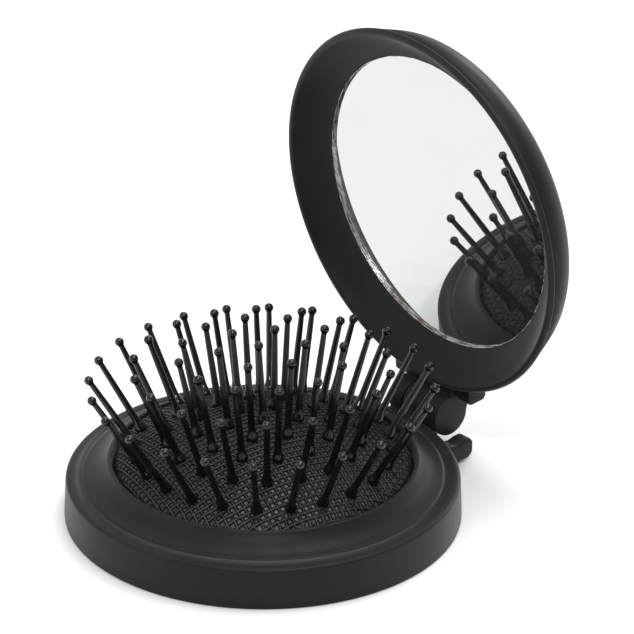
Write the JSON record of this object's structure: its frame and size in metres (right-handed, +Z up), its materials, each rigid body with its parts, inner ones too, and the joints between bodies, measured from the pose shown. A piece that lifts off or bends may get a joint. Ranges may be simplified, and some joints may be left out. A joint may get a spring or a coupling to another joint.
{
  "type": "folding pocket hairbrush",
  "caption": "Round folding pocket hairbrush: ball-tipped bristles on a domed rubber cushion in a disc base, under a hinged lid with a round mirror.",
  "frame": {"origin": "centre of the base's flat ring-shaped underside", "axes": "+Z up out of the cushion, +Y from the base's centre to the lid's hinge, +X to the right as seen from the front"},
  "size_m": [0.07, 0.0816, 0.0815],
  "materials": {
    "shell_black": "soft-touch matte",
    "inner_black": "moulded matte",
    "bristle_nylon": "glossy moulded",
    "cushion_rubber": "fine crosshatched",
    "screw_steel": "zinc plated",
    "pin_steel": "drawn wire",
    "mirror_glass": "polished",
    "tape_foam": "foam tape"
  },
  "bodies": {
    "base": {"base_shell": "shell_black", "top_cover": "shell_black", "cushion_clamp": "inner_black", "base_floor": "shell_black", "floor_screws": "screw_steel", "cover_screws": "screw_steel"},
    "carrier": {"push_plate": "shell_black", "plate_screws": "screw_steel", "cushion_support": "inner_black", "cushion_pad": "cushion_rubber", "pin_center": "bristle_nylon", "pins_ring_1": "bristle_nylon", "pins_ring_2": "bristle_nylon", "pins_ring_3": "bristle_nylon", "pins_ring_4": "bristle_nylon"},
    "hinge_pin": {"hinge_pin": "pin_steel"},
    "lid": {"lid_shell": "shell_black", "lid_frame": "shell_black", "mirror": "mirror_glass", "mirror_tape": "tape_foam"}
  },
  "joints": [
    {"name": "lid_fold", "type": "hinge", "parent": "base", "child": "hinge_pin", "pos_m": [0, 0.0393, 0.0081], "axis": [-1, 0, 0], "range_deg": [-84.9, 0]},
    {"name": "lid_flatten", "type": "hinge", "parent": "hinge_pin", "child": "lid", "pos_m": [0, 0.0393, 0.0081], "axis": [-1, 0, 0], "range_deg": [0, 95]},
    {"name": "bristle_slide", "type": "slide", "parent": "base", "child": "carrier", "axis": [0, 0, 1], "range_m": [-0.0215, 0], "deforming": ["cushion_pad", "pins_ring_3", "pins_ring_4"]}
  ],
  "couplings": [
    {"joint": "bristle_slide", "follows": "lid_fold", "m_per_rad": 0.014442}
  ]
}
